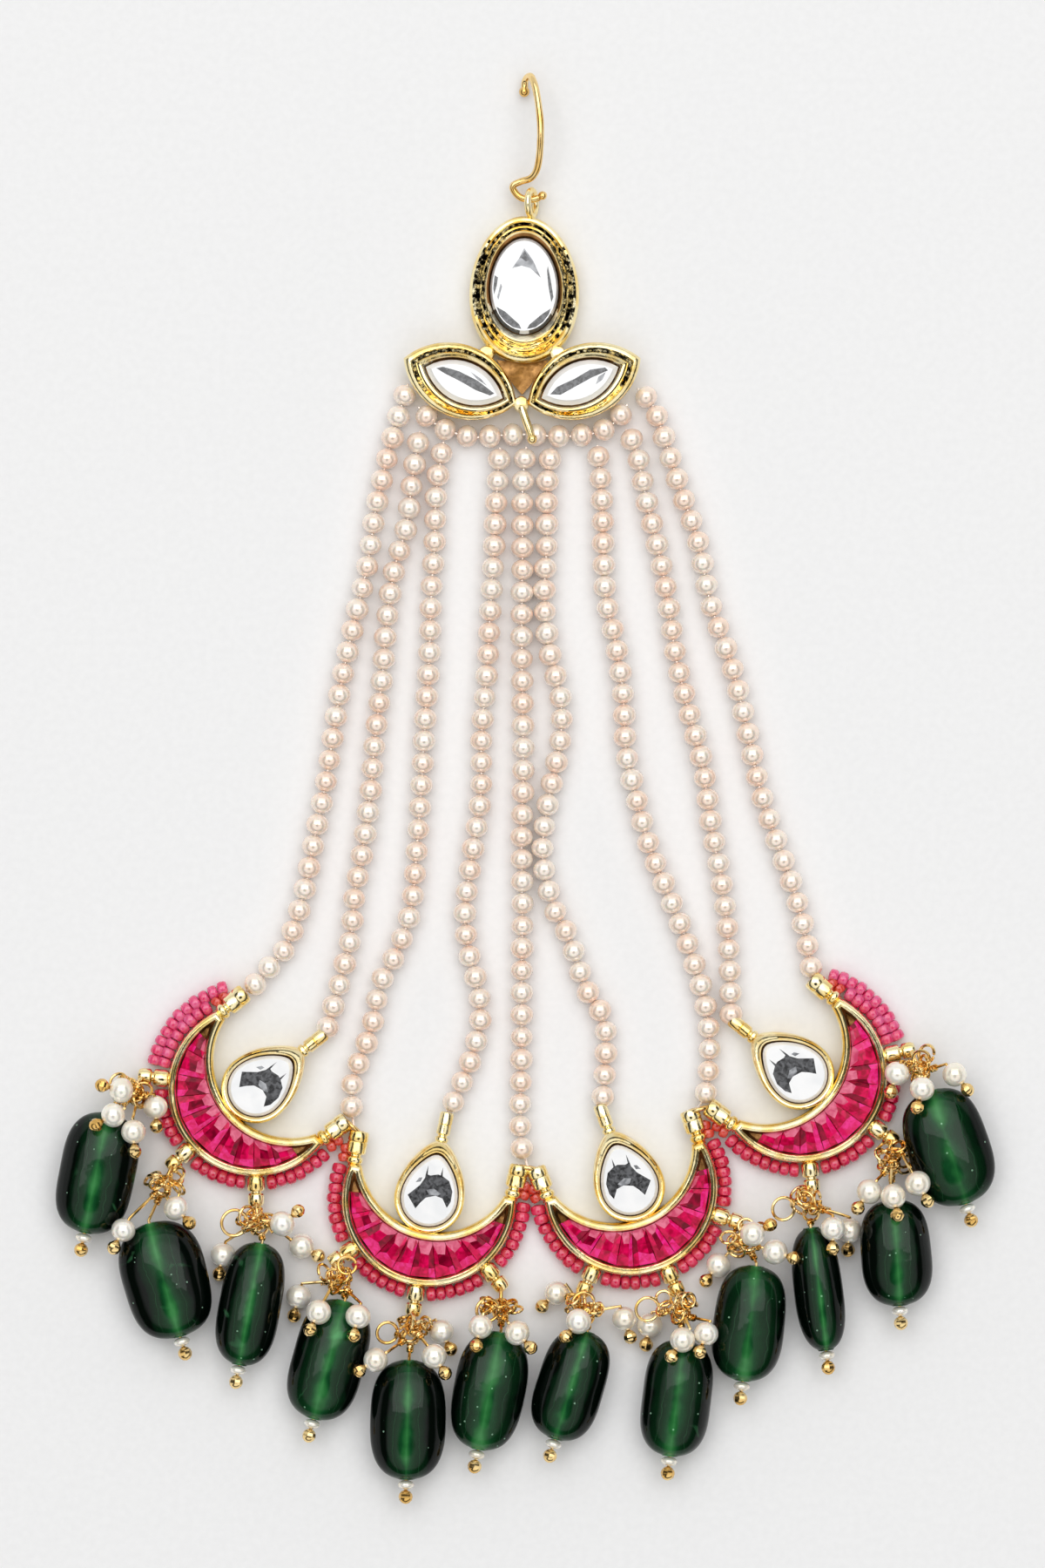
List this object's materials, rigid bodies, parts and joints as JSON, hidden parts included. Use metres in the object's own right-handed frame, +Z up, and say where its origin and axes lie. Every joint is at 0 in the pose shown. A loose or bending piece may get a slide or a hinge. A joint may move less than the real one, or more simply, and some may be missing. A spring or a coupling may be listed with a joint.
{
  "type": "passa jhoomar headpiece",
  "caption": "Side-of-head ornament: hooked crown of stones, fanned strands of pearls and stone crescents with drilled glass drops, laid flat.",
  "frame": {"origin": "middle of the bounding box at the surface it lies on", "axes": "+Z up from the surface, +Y towards the hook, +X to the right seen from above"},
  "size_m": [0.1076, 0.1641, 0.0078],
  "materials": {
    "gold": "polished yellow gold plating",
    "clear_stone": "faceted, foil-backed",
    "ruby": "faceted, foil-backed",
    "cream_pearl": "pearly lacquer, peach-cream",
    "white_pearl": "pearly lacquer, off-white",
    "red_seed": "moulded seed beads, glossy",
    "green_glass": "tumbled, glossy, with bubbles"
  },
  "bodies": {
    "root": {"hook": "gold", "crown": "gold", "crown_stone": "clear_stone", "leaf_stone_left": "clear_stone", "leaf_stone_right": "clear_stone", "pearl_collar": "cream_pearl", "pearl_strand_1": "cream_pearl", "pearl_strand_2": "cream_pearl", "pearl_strand_3": "cream_pearl", "pearl_strand_4": "cream_pearl", "pearl_strand_5": "cream_pearl", "pearl_strand_6": "cream_pearl", "pearl_strand_7": "cream_pearl", "pearl_strand_8": "cream_pearl", "pearl_strand_9": "cream_pearl", "crescent_1": "gold", "crescent_2": "gold", "crescent_3": "gold", "crescent_4": "gold", "ruby_row_1": "ruby", "ruby_row_2": "ruby", "ruby_row_3": "ruby", "ruby_row_4": "ruby", "pear_stone_1": "clear_stone", "pear_stone_2": "clear_stone", "pear_stone_3": "clear_stone", "pear_stone_4": "clear_stone", "seed_string_1": "red_seed", "seed_string_2": "red_seed", "seed_string_3": "red_seed", "seed_string_4": "red_seed", "join_rings": "gold", "drop_rings": "gold", "green_bead_1": "green_glass", "green_bead_2": "green_glass", "green_bead_3": "green_glass", "green_bead_4": "green_glass", "green_bead_5": "green_glass", "green_bead_6": "green_glass", "green_bead_7": "green_glass", "green_bead_8": "green_glass", "green_bead_9": "green_glass", "green_bead_10": "green_glass", "green_bead_11": "green_glass", "green_bead_12": "green_glass", "drop_pins": "gold", "end_pearls": "white_pearl", "cluster_pearls_1": "white_pearl", "cluster_pearls_2": "white_pearl", "cluster_pearls_3": "white_pearl", "cluster_pearls_4": "white_pearl", "cluster_pins_1": "gold", "cluster_pins_2": "gold", "cluster_pins_3": "gold", "cluster_pins_4": "gold"}
  },
  "joints": []
}
